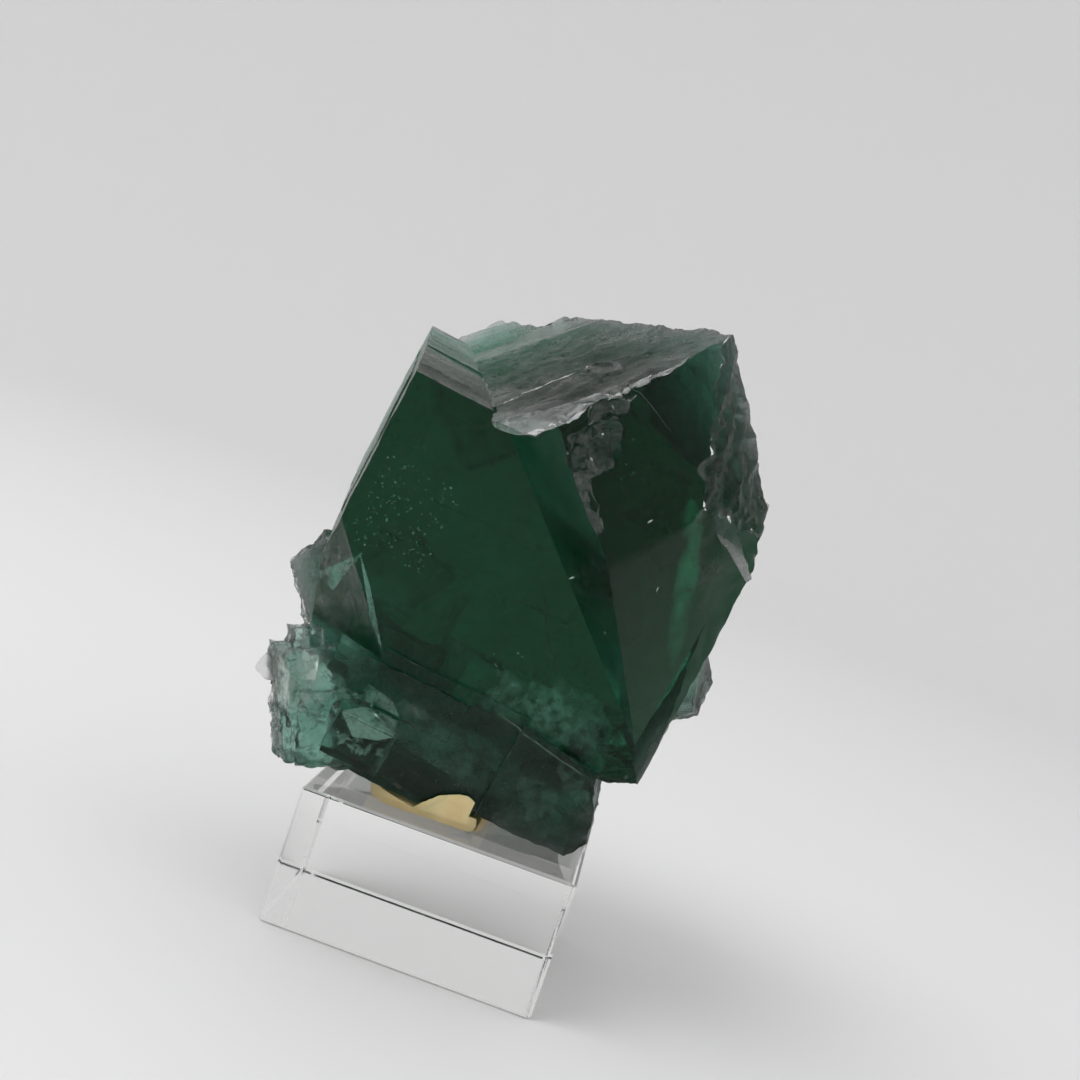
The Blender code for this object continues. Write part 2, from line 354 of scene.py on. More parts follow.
def face_kinds(points, triangles):
    """Kind of each triangle, from its direction and its place in the two crystals' axes."""
    normal = triangle_normals(points, triangles)
    small = np.linalg.norm(normal, axis=1) < BREAK_AREA
    middle = points[triangles].mean(axis=1)
    broad, twin = to_own(middle, BROAD), to_own(middle, TWIN)
    broad_way, twin_way = unit(normal) @ BROAD[1], unit(normal) @ TWIN[1]
    straight = np.maximum(np.abs(broad_way).max(axis=1), np.abs(twin_way).max(axis=1))
    aligned = straight > SAME_WAY
    rear = (broad[:, 1] > REAR_DEPTH) & (broad[:, 2] > REAR_HEIGHT)
    rough = ~aligned & small & ~rear
    pale = ((middle > np.array(PALE_LOW) * MM) & (middle < np.array(PALE_HIGH) * MM)).all(axis=1)
    front, up, left = (facing(broad_way, way) for way in ((0, -1, 0), (0, 0, 1), (-1, 0, 0)))
    tests = {
        "broken": rough,
        "pale_cube": pale & ~aligned,
        "broad_front": front & (broad[:, 1] < 1.5),
        "small_front": (front & (broad[:, 2] < FOOT_TOP)) | (pale & aligned),
        "broad_top": up & (broad[:, 2] > -1.0),
        "broad_left": left & (broad[:, 0] < 1.0),
        "pit": rough & (np.abs(twin - PIT) < PIT_REACH).all(axis=1),
        "twin_top": facing(twin_way, (0, 0, 1)) & (twin[:, 2] > -0.5),
        "twin_light": facing(twin_way, TWIN_LIGHT) & (twin[:, 2] > -2.0),
        "twin_front": facing(twin_way, (-1, 0, 0)) & (twin[:, 0] < 0.2),
        "twin_band": facing(twin_way, (0, 1, 0)) & (twin[:, 1] > 13.0),
        "twin_foot": facing(twin_way, TWIN_FOOT),
        "right_break": facing(twin_way, TWIN_BREAK)
        | facing(broad_way, BROAD_BREAKS[0]) | facing(broad_way, BROAD_BREAKS[1]),
        "right_low": facing(broad_way, BROAD_LOW),
        "corner_facet": facing(broad_way, BROAD_CORNERS[0]) | facing(broad_way, BROAD_CORNERS[1]),
    }
    kind = np.full(len(triangles), KIND_NAMES.index("hidden"))
    for label, which in tests.items():
        kind[which] = KIND_NAMES.index(label)
    return kind


def plane_groups(points, triangles, kind):
    """One number for each flat face, from its direction and its distance from the origin, both
    rounded; all broken triangles share one number."""
    way_steps, steps_per_mm = 60, 12
    normal = unit(triangle_normals(points, triangles))
    reach = (normal * points[triangles].mean(axis=1)).sum(axis=1) / MM
    marks = np.column_stack([np.round(normal * way_steps), np.round(reach * steps_per_mm)])
    marks = marks.astype(np.int64)
    marks[is_kind(kind, "broken")] = 0
    return np.unique(marks, axis=0, return_inverse=True)[1].reshape(-1)


def broad_top_shape(broad, wide):
    """Growth lines that run along the face, and at its front a few low steps that lean to the
    front: a saw-tooth of the depth."""
    lines = layered_noise(broad * (0.15, 1.0, 1.0), wide * 0.6, 12)
    depth = broad[:, 1] + 1.2 * layered_noise(broad * (0.25, 1.0, 1.0), 3.0, 6)
    saw = (depth / 2.6) % 1.0 - 0.5
    front = 1.0 - fade(depth, 8.5, 10.0)
    return 8.0 * saw * front + 1.6 * lines * (1.0 - 0.6 * front)


def twin_top_shape(twin, spots, wide):
    """Low mounds with finer noise; long streaks on the far band; smooth zones left flat."""
    band = twin_band_mask(twin)
    across, along = line_axes(twin, BAND_LINE)
    streaks = layered_noise(np.stack([across, along * 0.08, along * 0.0], axis=1), 0.8, 31)
    shape = mounds(spots, wide, 21) - 0.5 + 0.5 * layered_noise(spots, wide * 0.5, 3, 2)
    shape = shape + 1.4 * terraces(layered_noise(spots, 2.6, 35, 4), 0.5)
    shape = shape + 1.2 * streaks * fade(twin[:, 1], 11.0, 12.5)
    shape = shape * (1.0 - band) + 1.8 * band * streaks
    return shape * (1.0 - 0.85 * twin_smooth_mask(twin))


def broken_shape(mm, wide):
    """Shell-like break: rounded waves round one spot, ridges where noise crosses zero, and
    finer noise."""
    ridges = 0.5 - np.abs(soft_noise(mm, wide, 61)) - 0.5 * np.abs(soft_noise(mm, wide * 0.5, 62))
    return 0.6 * shell_ripples(mm) + ridges + 0.2 * layered_noise(mm, wide * 0.3, 14, 2)


def edge_chips(twin, from_edge):
    """Depth in mm of the scallops along the twin's near edge: mounds of noise along the edge,
    deepest at it and gone within a millimetre."""
    along = np.stack([twin[:, 1], 0 * twin[:, 1], 0 * twin[:, 1]], axis=1)
    bites = fade(layered_noise(along, 1.5, 33, 2), -0.1, 0.8)
    return 0.5 * bites * (1.0 - fade(from_edge, 0.0, 0.9))


def face_shape(label, points, spots, wide):
    """Height of one kind of face in parts of its rise: noise of its size, as growth lines,
    mounds, shell-like waves or low steps."""
    if label == "broad_top":
        return broad_top_shape(to_own(points, BROAD), wide)
    if label in ("twin_top", "twin_light"):
        return twin_top_shape(to_own(points, TWIN), spots, wide)
    if label in ("right_break", "right_low"):
        return broken_shape(points / MM, wide)
    if label == "hidden":
        steps = terraces(layered_noise(spots, wide, 73), 0.45)
        return steps + 0.25 * layered_noise(spots, wide * 0.3, 74, 2)
    if label == "pale_cube":
        steps = terraces(layered_noise(spots, wide * 1.5, 71), 0.5)
        return steps + 0.5 * layered_noise(spots, wide * 0.5, 72, 2)
    return layered_noise(spots, wide, 7, 3)


def relief(points, kind, group):
    """Height of the coarse relief in metres for points on faces of the given kinds: each
    kind's shape times its rise, less the chips along the twin's near edge."""
    apart = 3.7
    out = np.zeros(len(points))
    for index, label in enumerate(KIND_NAMES):
        here = kind == index
        if not here.any():
            continue
        spots = points[here] / MM + group[here, None] * apart
        shape = face_shape(label, points[here], spots, KIND_VALUES["size"][index])
        out[here] = KIND_VALUES["rise"][index] * shape
        twin = to_own(points[here], TWIN)
        if label in ("twin_top", "twin_light"):
            out[here] -= edge_chips(twin, twin[:, 0])
        elif label == "twin_front":
            out[here] -= edge_chips(twin, -twin[:, 2])
    return out * MM


# Lines on the twin's top face in its own mm: the near edge of the pale streaked band, and
# the near edge of the smooth dark zone before it
BAND_LINE = ((27.4, 7.2), (22.1, 0.5))
ZONE_LINE = ((21.7, 7.6), (18.9, 2.0))

# Spot in mm from which the break at the right spreads
BREAK_START = (13.0, -9.0, 42.0)


def line_axes(twin, line):
    """Distances in mm from a line on the twin's top face: across it, positive towards the
    back, and along it."""
    start, end = np.array(line)
    along = (end - start) / np.linalg.norm(end - start)
    offset = twin[:, :2] - start
    return offset[:, 1] * along[0] - offset[:, 0] * along[1], offset @ along


def twin_band_mask(twin):
    """1 on the pale streaked band at the far end of the twin's top face."""
    wobble = 0.4 * soft_noise(twin, 2.0, 41)
    return fade(line_axes(twin, BAND_LINE)[0] + wobble, -0.25, 0.25)


def twin_smooth_mask(twin):
    """1 on the smooth dark zone next to the streaked band, and on the dark lens."""
    wobble = 0.5 * soft_noise(twin, 1.6, 43)
    zone = fade(line_axes(twin, ZONE_LINE)[0] + wobble, -0.2, 0.3)
    lens = sum(((twin[:, k] - PIT[k]) / LENS_REACH[k]) ** 2 for k in range(2))
    return np.maximum(zone * (1.0 - twin_band_mask(twin)), fade(-lens, -1.3, -0.7))


def shell_ripples(mm):
    """Curved ripples of a shell-like break: rounded waves of the distance from one spot."""
    reach = np.linalg.norm(mm - np.array(BREAK_START), axis=1) + 0.8 * soft_noise(mm, 2.5, 51)
    return 0.5 * np.abs(np.sin(reach * 1.9)) - 0.3


def pushed_points(points, triangles, group, kind):
    """Points moved so that each flat face rises by its own relief: the least move whose share
    along each face's direction is that face's height, by the normal equations, eased so that
    a point on one face alone still has an answer."""
    count, ease = len(points), 0.03
    normal = np.repeat(triangle_normals(points, triangles), 3, axis=0)
    corner = triangles.reshape(-1)
    pair = corner * (group.max() + 1) + np.repeat(group, 3)
    single, first, back = np.unique(pair, return_index=True, return_inverse=True)
    way = mean_ways(back, normal, len(single))
    spot = corner[first]
    height = relief(points[spot], np.repeat(kind, 3)[first], np.repeat(group, 3)[first])
    square = np.zeros((count, 3, 3))
    right = np.zeros((count, 3))
    np.add.at(square, spot, way[:, :, None] * way[:, None, :])
    np.add.at(right, spot, way * height[:, None])
    square += np.eye(3) * ease
    return points + np.linalg.solve(square, right[:, :, None])[:, :, 0]


def top_values(which, twin, mm):
    """Frost, grain, film and dust of the twin's top: its smooth zone is clearer, the streaked
    band and the left and near edges have more film, and noise makes the frost uneven."""
    rough, grain, film, dust_and_shade = (KIND_VALUES[field][which] for field in FIELDS[:4])
    on_top = is_kind(which, "twin_top", "twin_light")
    smooth, band = twin_smooth_mask(twin) * on_top, twin_band_mask(twin) * on_top
    left_edge = fade(twin[:, 1], 10.5, 13.0) * on_top
    near_edge = (1.0 - fade(twin[:, 0], 1.2, 3.5)) * on_top
    rough = rough * (1.0 - 0.6 * smooth) + 0.25 * on_top * layered_noise(mm, 1.6, 50)
    film = film * (1.0 - 0.9 * smooth) + 0.24 * band + 0.35 * left_edge + 0.35 * near_edge
    return rough, grain * (1.0 - 0.8 * smooth), film, dust_and_shade + 0.15 * band


def top_back(which, broad):
    """1 on the back part of the broad crystal's top, behind its low steps."""
    return fade(broad[:, 1], 8.5, 10.5) * is_kind(which, "broad_top")


def extra_film(which, broad, mm):
    """More film by noise in streaks on the foot's front faces and on the back of the broad top,
    and round the spot of the pale cubes' painted highlight."""
    streaks = fade(layered_noise(broad * (0.35, 1.0, 1.0), 1.1, 48), 0.25, 0.9)
    back_streaks = 0.6 + 0.4 * soft_noise(broad * (0.1, 1.0, 1.0), 0.9, 45)
    from_highlight = np.linalg.norm(mm - HIGHLIGHT_SPOT, axis=1)
    return (
        0.3 * streaks * is_kind(which, "small_front"),
        0.5 * top_back(which, broad) * back_streaks,
        0.9 * (1.0 - fade(from_highlight, 1.5, 3.2)) * is_kind(which, "pale_cube"))


def corner_values(points, triangles, kind):
    """Roughness, grain, pale film and the dark tone of dust and painted shade at each corner of
    each triangle. Hidden faces get more painted shade, a darker tone that dims the light through
    them, the nearer they lie to the display side, and so do those of the foot."""
    spot = points[triangles.reshape(-1)]
    mm, which = spot / MM, np.repeat(kind, 3)
    broad = to_own(spot, BROAD)
    rough, grain, film, dust_and_shade = top_values(which, to_own(spot, TWIN), mm)
    back = top_back(which, broad)
    film = film + sum(extra_film(which, broad, mm))
    # Painted shade: hidden faces near the display side and low in the foot take the dark tone,
    # which dims the light through them
    near = HIDDEN_SHADE * fade(-broad[:, 1], *SHADE_DEPTHS)
    foot = FOOT_SHADE * fade(-mm[:, 2], *SHADE_HEIGHTS)
    dust_and_shade = dust_and_shade + 0.15 * back + is_kind(which, "hidden") * np.maximum(near, foot)
    patches = 1.0 + 0.6 * layered_noise(mm, 2.6, 47, 2) + 0.35 * layered_noise(mm, 0.5, 49, 2)
    return {
        "frost": rough + 0.2 * back, "grain": grain, "film": film * patches,
        "dust_and_shade": dust_and_shade * (1.0 - 0.3 * (patches - 1.0))}


def fluorite_crystals():
    """Skin of the whole cluster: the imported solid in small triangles, with the relief of each
    kind of face pushed out along it."""
    points, triangles = merged_triangles("fluorite_cluster")
    kind = face_kinds(points, triangles)
    group = plane_groups(points, triangles, kind)
    points, triangles, source = refined(points, triangles, KIND_VALUES["edge"][kind] * MM)
    kind, group = kind[source], group[source]
    shaped = pushed_points(points, triangles, group, kind)
    piece = mesh_piece("fluorite_crystals", shaped, triangles, SHARP_EDGE)
    for name, values in corner_values(points, triangles, kind).items():
        layer = piece.data.attributes.new(name, "FLOAT", "CORNER")
        layer.data.foreach_set("value", values.astype(np.float32))
    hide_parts("fluorite_cluster")
    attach(piece, "root")
    return piece


# Tack

# Longest edge of the tack's triangles
TACK_EDGE = 0.3 * MM


def kneaded(points, triangles):
    """Points moved along their averaged direction by soft noise, as kneading leaves them."""
    normal = np.repeat(triangle_normals(points, triangles), 3, axis=0)
    way = mean_ways(triangles.reshape(-1), normal, len(points))
    push = 0.06 * layered_noise(points / MM, 1.7, 81) + 0.03 * soft_noise(points / MM, 0.5, 83)
    return points + way * (push - 0.02)[:, None] * MM


def pressed_tack():
    """Skin of the tack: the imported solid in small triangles, kneaded."""
    points, triangles = merged_triangles("mineral_tack")
    longest = np.full(len(triangles), TACK_EDGE)
    points, triangles, _ = refined(points, triangles, longest)
    piece = mesh_piece("pressed_tack", kneaded(points, triangles), triangles, SMOOTH_EDGE)
    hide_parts("mineral_tack")
    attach(piece, "root")
    return piece


# Small things in and on the crystals

# Half axes of a flake in parts of its size, at the least and at the most
FLAKE_LEAST = (0.6, 0.35, 0.08)
FLAKE_MOST = (1.2, 0.8, 0.25)

# Thickness of the plates, and a direction that no thread runs along
PLATE_THICK = 0.04 * MM
THREAD_SIDE = (0.31, 0.92, 0.24)


def in_part(own, crystal):
    """Points given in a crystal's own axes in mm, in the part's frame in metres."""
    corner, axes = crystal
    return corner + np.asarray(own, dtype=float) @ axes.T * MM


def flakes(name, middles, sizes, seed):
    """Joined flat chips: each an eight-sided diamond, three half axes long, wide and thin,
    turned by its own random directions."""
    rng = np.random.default_rng(seed)
    ways = np.linalg.qr(rng.normal(size=(len(middles), 3, 3)))[0]
    half = sizes[:, None] * rng.uniform(FLAKE_LEAST, FLAKE_MOST, (len(sizes), 3))
    tips = np.concatenate([np.eye(3), -np.eye(3)])
    points = middles[:, None, :] + np.einsum("nk,pk,nkj->npj", half, tips, ways)
    sides = np.array([
        (0, 1, 2), (1, 3, 2), (3, 4, 2), (4, 0, 2), (1, 0, 5), (3, 1, 5), (4, 3, 5), (0, 4, 5)])
    turned = np.linalg.det(ways) < 0
    faces = sides[None] + np.arange(len(middles))[:, None, None] * 6
    faces[turned] = faces[turned][:, :, ::-1]
    piece = mesh_piece(name, points.reshape(-1, 3), faces.reshape(-1, 3))
    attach(piece, "root")
    return piece


def scatter(crystal, low, high, count, seed):
    """Random points between two corners in a crystal's own axes."""
    rng = np.random.default_rng(seed)
    return in_part(rng.uniform(low, high, (count, 3)), crystal)


def lens_sheet(row, fall, spin, seed):
    """Points of one thin closed sheet, a flattened ball: its middle, the two half sides that
    span it, its half thickness and the height of its ripples, in mm. The rim follows noise,
    and upper and lower side share one ripple, so the sheet stays thin."""
    crystal, middle, side_u, side_v, thick, ripple = row
    side_u, side_v = np.array(side_u, float), np.array(side_v, float)
    reach, up = np.sin(fall)[:, None], np.cos(fall)[:, None] * np.ones(len(spin))
    u, v, w = (
        np.concatenate([[top], value.reshape(-1), [bottom]])
        for value, top, bottom in (
            (reach * np.cos(spin), 0.0, 0.0), (reach * np.sin(spin), 0.0, 0.0), (up, 1.0, -1.0)))
    rim = 1.0 + 0.3 * soft_noise(np.stack([u, v, 0 * u], axis=1) * 3.0, 1.0, seed)
    flat = np.outer(u * rim, side_u) + np.outer(v * rim, side_v)
    return crystal, np.array(middle), flat, w * thick, ripple, unit(np.cross(side_u, side_v))


def lens_sheets(name, rows, seed):
    """Thin closed sheets inside the crystals: for each row, a flattened ball whose points are
    its middle, the flat offset, and its half thickness and ripple along its own direction."""
    up, turn = 13, 40
    fall = np.linspace(0.0, np.pi, up)[1:-1]
    spin = np.linspace(0.0, 2.0 * np.pi, turn, endpoint=False)
    size = 2 + len(fall) * turn
    points = []
    for index, row in enumerate(rows):
        crystal, middle, flat, thick, ripple, out = lens_sheet(row, fall, spin, seed + index)
        wave = ripple * layered_noise(flat + 7.0 * index, 1.8, seed + index, 2)
        points.append(in_part(middle + flat + np.outer(thick + wave, out), crystal))
    faces = [ball_faces(len(fall), turn) + size * index for index in range(len(rows))]
    piece = mesh_piece(name, np.concatenate(points), np.concatenate(faces), SHEET_EDGE)
    inner = np.abs(np.cos(np.concatenate([[0.0], np.repeat(fall, turn), [0.0]])))
    set_inner(piece, np.tile(inner, len(rows)))
    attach(piece, "root")
    return piece


def plates(name, rows):
    """Flat closed plates: each the outline given by its corners, carried along its own
    direction by the plates' thickness, as a prism."""
    points, faces, count = [], [], 0
    for crystal, corners in rows:
        outline = in_part(corners, crystal)
        out = unit(np.cross(outline[1] - outline[0], outline[2] - outline[0]))
        out = out * 0.5 * PLATE_THICK
        size = len(outline)
        points += [outline - out, outline + out]
        ring = np.arange(size)
        after = (ring + 1) % size
        sides = np.stack([ring, after, after + size, ring + size], axis=1) + count
        faces += [(ring[::-1] + count).tolist(), (ring + size + count).tolist(), *sides.tolist()]
        count += 2 * size
    piece = mesh_piece(name, np.concatenate(points), faces)
    set_inner(piece, np.ones(count))
    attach(piece, "root")
    return piece


def ball_faces(rings, turn):
    """Triangles of a closed ball: the first point is one pole, the rings of points follow, and
    the last point is the other pole."""
    k = np.arange(turn)
    after = (k + 1) % turn
    last = 1 + (rings - 1) * turn
    parts = [
        np.stack([0 * k, 1 + k, 1 + after], axis=1),
        np.stack([last + k, 0 * k + 1 + rings * turn, last + after], axis=1)]
    for ring in range(rings - 1):
        a, b = 1 + ring * turn + k, 1 + ring * turn + after
        parts += [
            np.stack([a, a + turn, b], axis=1), np.stack([b, a + turn, b + turn], axis=1)]
    return np.concatenate(parts)


def thread(name, crystal, route, widths, sides=8):
    """Closed thread along a route in a crystal's own axes: an oval carried along the smoothed
    route, its half widths times the root of a sine, so that both ends thin to nothing."""
    route = np.array(route, float)
    spots = np.linspace(0.0, len(route) - 1.0, 12 * len(route))
    path = np.stack([np.interp(spots, np.arange(len(route)), route[:, k]) for k in range(3)], 1)
    for _ in range(3):
        path[1:-1] = (path[:-2] + path[1:-1] * 2.0 + path[2:]) / 4.0
    path = in_part(path, crystal) / MM
    path[1:-1] += 0.06 * np.stack([soft_noise(path[1:-1], 0.7, 91 + k) for k in range(3)], 1)
    along = unit(np.gradient(path, axis=0))
    out = unit(np.cross(along, np.array(THREAD_SIDE)))
    side = np.cross(along, out)
    share = np.sin(np.linspace(0.0, np.pi, len(path)))[1:-1] ** 0.5
    # Turned backwards, so that the faces point outwards
    turn = -np.linspace(0.0, 2.0 * np.pi, sides, endpoint=False)
    ring = (
        np.cos(turn)[None, :, None] * out[1:-1, None, :] * widths[0]
        + np.sin(turn)[None, :, None] * side[1:-1, None, :] * widths[1])
    body = path[1:-1, None, :] + ring * share[:, None, None]
    points = np.concatenate([path[:1], body.reshape(-1, 3), path[-1:]]) * MM
    piece = mesh_piece(name, points, ball_faces(len(path) - 2, sides), SHEET_EDGE)
    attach(piece, "root")
    return piece


# Materials


def new_material(name):
    """New material with its Principled shader."""
    material = bpy.data.materials.new(name)
    material.use_nodes = True
    return material, material.node_tree.nodes["Principled BSDF"]


def set_inputs(node, **values):
    """Plain values for a node's inputs; an underscore stands for a space in their names."""
    for name, value in values.items():
        node.inputs[name.replace("_", " ")].default_value = value


def add_node(tree, kind, **values):
    """New node with its settings and named inputs given."""
    node = tree.nodes.new(kind)
    for name, value in values.items():
        if hasattr(node, name):
            setattr(node, name, value)
        else:
            set_inputs(node, **{name: value})
    return node


def object_noise(tree, **values):
    """Noise on the piece's own coordinates."""
    place = tree.nodes.new("ShaderNodeTexCoord")
    noise = add_node(tree, "ShaderNodeTexNoise", **values)
    tree.links.new(place.outputs["Object"], noise.inputs["Vector"])
    return noise.outputs["Fac"]


def carried(tree, name):
    """Value that the mesh carries under a name."""
    return add_node(tree, "ShaderNodeAttribute", attribute_name=name).outputs["Fac"]


def ranged(tree, value, low, high, to_low, to_high):
    """Value between low and high, stretched to lie between two others."""
    spread = add_node(
        tree, "ShaderNodeMapRange", From_Min=low, From_Max=high, To_Min=to_low, To_Max=to_high)
    tree.links.new(value, spread.inputs["Value"])
    return spread.outputs["Result"]


def product(tree, first, second, clamped=False):
    """First value times the second, held between 0 and 1 where clamped."""
    times = add_node(tree, "ShaderNodeMath", operation="MULTIPLY", use_clamp=clamped)
    tree.links.new(first, times.inputs[0])
    tree.links.new(second, times.inputs[1])
    return times.outputs[0]


def toned(tree, share, low, high):
    """Colour between two, by a share from 0 to 1."""
    tone = tree.nodes.new("ShaderNodeMix")
    tone.data_type = "RGBA"
    set_inputs(tone, A=(*low, 1.0), B=(*high, 1.0))
    tree.links.new(share, tone.inputs["Factor"])
    return tone.outputs["Result"]


def bumped(tree, shader, height, strength, distance):
    """Fine relief of a height on the shader's normal, with its depth in metres."""
    bump = add_node(tree, "ShaderNodeBump", Strength=strength, Distance=distance)
    tree.links.new(height, bump.inputs["Height"])
    tree.links.new(bump.outputs["Normal"], shader.inputs["Normal"])


def grain_group():
    """Fine surface grain: a noise of a size blended with one about three times finer, put out
    as a height, and the coarser noise alone as a mask."""
    finer = 3.1
    group = bpy.data.node_groups.new("Crystal grain", "ShaderNodeTree")
    for name, start in (("Size", GRAIN_SIZE), ("Fine share", 0.5)):
        socket = group.interface.new_socket(name, in_out="INPUT", socket_type="NodeSocketFloat")
        socket.default_value = start
    for name in ("Height", "Mask"):
        group.interface.new_socket(name, in_out="OUTPUT", socket_type="NodeSocketFloat")
    entry = group.nodes.new("NodeGroupInput")
    leave = group.nodes.new("NodeGroupOutput")
    place = group.nodes.new("ShaderNodeTexCoord")
    coarse = add_node(group, "ShaderNodeTexNoise", Detail=4.0)
    fine = add_node(group, "ShaderNodeTexNoise", Detail=6.0)
    scale = add_node(group, "ShaderNodeMath", operation="MULTIPLY")
    scale.inputs[1].default_value = finer
    mixed = group.nodes.new("ShaderNodeMix")
    link = group.links.new
    link(place.outputs["Object"], coarse.inputs["Vector"])
    link(place.outputs["Object"], fine.inputs["Vector"])
    link(entry.outputs["Size"], coarse.inputs["Scale"])
    link(entry.outputs["Size"], scale.inputs[0])
    link(scale.outputs[0], fine.inputs["Scale"])
    link(entry.outputs["Fine share"], mixed.inputs["Factor"])
    link(coarse.outputs["Fac"], mixed.inputs["A"])
    link(fine.outputs["Fac"], mixed.inputs["B"])
    link(mixed.outputs["Result"], leave.inputs["Height"])
    link(coarse.outputs["Fac"], leave.inputs["Mask"])
    return group


def placed_grain(tree, grain, size, fine_share):
    """Height and mask of the fine grain, with a material's own size and share of fine noise."""
    texture = tree.nodes.new("ShaderNodeGroup")
    texture.node_tree = grain
    set_inputs(texture, Size=size, Fine_share=fine_share)
    return texture.outputs["Height"], texture.outputs["Mask"]


def crystal_material(grain):
    """Clear green fluorite: plain transmission and absorption. Each face carries its own frost,
    grain, pale film and dark tone, which is dust and, on the hidden faces and the foot, painted
    shade; the fine grain mottles them."""
    material, shader = new_material("Green fluorite")
    tree = material.node_tree
    link = tree.links.new
    set_inputs(
        shader, Transmission_Weight=1.0, IOR=FLUORITE_IOR, Specular_Tint=DULL_SHINE,
        Coat_IOR=FILM_IOR, Coat_Roughness=FILM_ROUGHNESS)
    height, mask = placed_grain(tree, grain, GRAIN_SIZE, 0.5)
    mottle = ranged(tree, mask, 0.3, 0.7, 0.7, 1.3)
    speckle = ranged(tree, height, 0.40, 0.60, 0.1, 1.5)
    film = product(tree, speckle, carried(tree, "film"), clamped=True)
    dust_and_shade = product(tree, carried(tree, "dust_and_shade"), mottle, clamped=True)
    link(product(tree, mottle, carried(tree, "frost")), shader.inputs["Roughness"])
    link(film, shader.inputs["Coat Weight"])
    # The dark tone is dust, and painted shade on the hidden faces and the foot
    link(toned(tree, dust_and_shade, CLEAN_TONE, DUST_AND_SHADE_TONE), shader.inputs["Base Color"])
    bumped(tree, shader, product(tree, height, carried(tree, "grain")), 1.0, GRAIN_DEPTH)
    volume = add_node(tree, "ShaderNodeVolumeAbsorption", Density=GREEN_DENSITY)
    set_inputs(volume, Color=(*GREEN_LEFT, 1.0))
    link(volume.outputs["Volume"], tree.nodes["Material Output"].inputs["Volume"])
    return material


def tack_material(grain):
    """Cream-yellow tack: soft, matte, with painted shade in the hollows of its bump, a slightly
    deeper tone there.
    """
    material, shader = new_material("Cream tack")
    tree = material.node_tree
    set_inputs(shader, Roughness=0.55, Subsurface_Weight=0.15, Subsurface_Scale=0.0006)
    height, mask = placed_grain(tree, grain, 700.0, 0.3)
    # Painted shade: the coarse noise that sinks the bump's hollows also darkens the tone there
    tone = toned(tree, mask, (0.62, 0.46, 0.20), (0.80, 0.66, 0.36))
    tree.links.new(tone, shader.inputs["Base Color"])
    bumped(tree, shader, height, 0.5, 0.0001)
    return material


def chip_material(name, colour):
    """Small pieces of one colour, a little glossy, mottled by noise: broken crystal seen as small
    chips, and pale flakes that paint glints.
    """
    material, shader = new_material(name)
    tree = material.node_tree
    set_inputs(shader, Roughness=0.3)
    noise = object_noise(tree, Scale=5000.0, Detail=3.0)
    tone = toned(tree, noise, [0.6 * value for value in colour], colour)
    tree.links.new(tone, shader.inputs["Base Color"])
    return material


def crack_material():
    """Thin gap inside the crystal: the light bends and glints at it, with no colour of its own."""
    material, shader = new_material("Inner crack")
    tree = material.node_tree
    set_inputs(shader, Transmission_Weight=1.0, IOR=FLUORITE_IOR)
    noise = object_noise(tree, Scale=1500.0, Detail=3.0)
    tree.links.new(ranged(tree, noise, 0.0, 1.0, 0.05, 0.5), shader.inputs["Roughness"])
    return material


def sheet_material(name, colour, size, most):
    """Matte, mostly open sheet, for milky veils and haze and for sheets that paint light: more or
    less of it by layered noise of a size, up to its most, and none at its rim."""
    material, shader = new_material(name)
    tree = material.node_tree
    set_inputs(shader, Base_Color=(*colour, 1.0), Roughness=0.8)
    noise = object_noise(tree, Scale=size, Detail=8.0, Roughness=0.65)
    amount = ranged(tree, noise, 0.40, 0.75, 0.0, most)
    tree.links.new(product(tree, amount, carried(tree, "inner")), shader.inputs["Alpha"])
    return material


def acrylic_material(grain):
    """Polished acrylic: clear, with faint handling marks."""
    material, shader = new_material("Clear acrylic")
    tree = material.node_tree
    set_inputs(
        shader, Transmission_Weight=1.0, IOR=ACRYLIC_IOR, Base_Color=(0.99, 0.99, 0.985, 1.0))
    height, mask = placed_grain(tree, grain, 350.0, 0.2)
    tree.links.new(ranged(tree, mask, 0.45, 0.75, 0.015, 0.09), shader.inputs["Roughness"])
    bumped(tree, shader, height, 0.15, 0.00002)
    return material


# Studio, in metres: radii inside the flat floor, radius of the flat floor and of the curve
# round it, height of its wall in such radii, and sides of the floor; and the lamp
FLOOR_INNER = (0.0, 0.1, 0.2)
FLOOR_FLAT = 0.32
FLOOR_CURVE = 0.22
WALL_TOP = 1.6
FLOOR_SIDES = 96
LAMP_PLACE = (-0.18, -0.12, 0.34)
LAMP_AIM = (0.0, 0.0, 0.03)
LAMP_SIZE = 0.25
LAMP_WATTS = 0.6
ROOM_GREY = (0.78, 0.78, 0.78, 1.0)
FLOOR_GREY = (0.8, 0.8, 0.8, 1.0)


def studio_floor():
    """Pale seamless floor: a disc that curves up all round in a quarter circle, a profile
    carried round a full turn."""
    bend = np.linspace(0.0, 0.5 * np.pi, 20)
    reach = FLOOR_FLAT + FLOOR_CURVE * np.concatenate([np.sin(bend), [1.0]])
    rise = FLOOR_CURVE * np.concatenate([1.0 - np.cos(bend), [WALL_TOP]])
    reach = np.concatenate([FLOOR_INNER, reach])
    rise = np.concatenate([np.zeros(len(FLOOR_INNER)), rise]) - FLOOR_GAP
    turn = np.linspace(0.0, 2.0 * np.pi, FLOOR_SIDES, endpoint=False)
    points = np.stack([
        np.outer(reach, np.cos(turn)), np.outer(reach, np.sin(turn)),
        np.repeat(rise[:, None], len(turn), axis=1)], axis=-1).reshape(-1, 3)
    ring = np.arange(len(turn))
    after = (ring + 1) % len(turn)
    faces = np.concatenate([
        np.stack([k * len(turn) + ring, k * len(turn) + after,
                  (k + 1) * len(turn) + after, (k + 1) * len(turn) + ring], axis=1)
        for k in range(len(reach) - 1)])
    floor = mesh_piece("studio_floor", points, faces, SMOOTH_EDGE)
    material, shader = new_material("Pale floor")
    set_inputs(shader, Base_Color=FLOOR_GREY, Roughness=0.7)
    floor.data.materials.append(material)


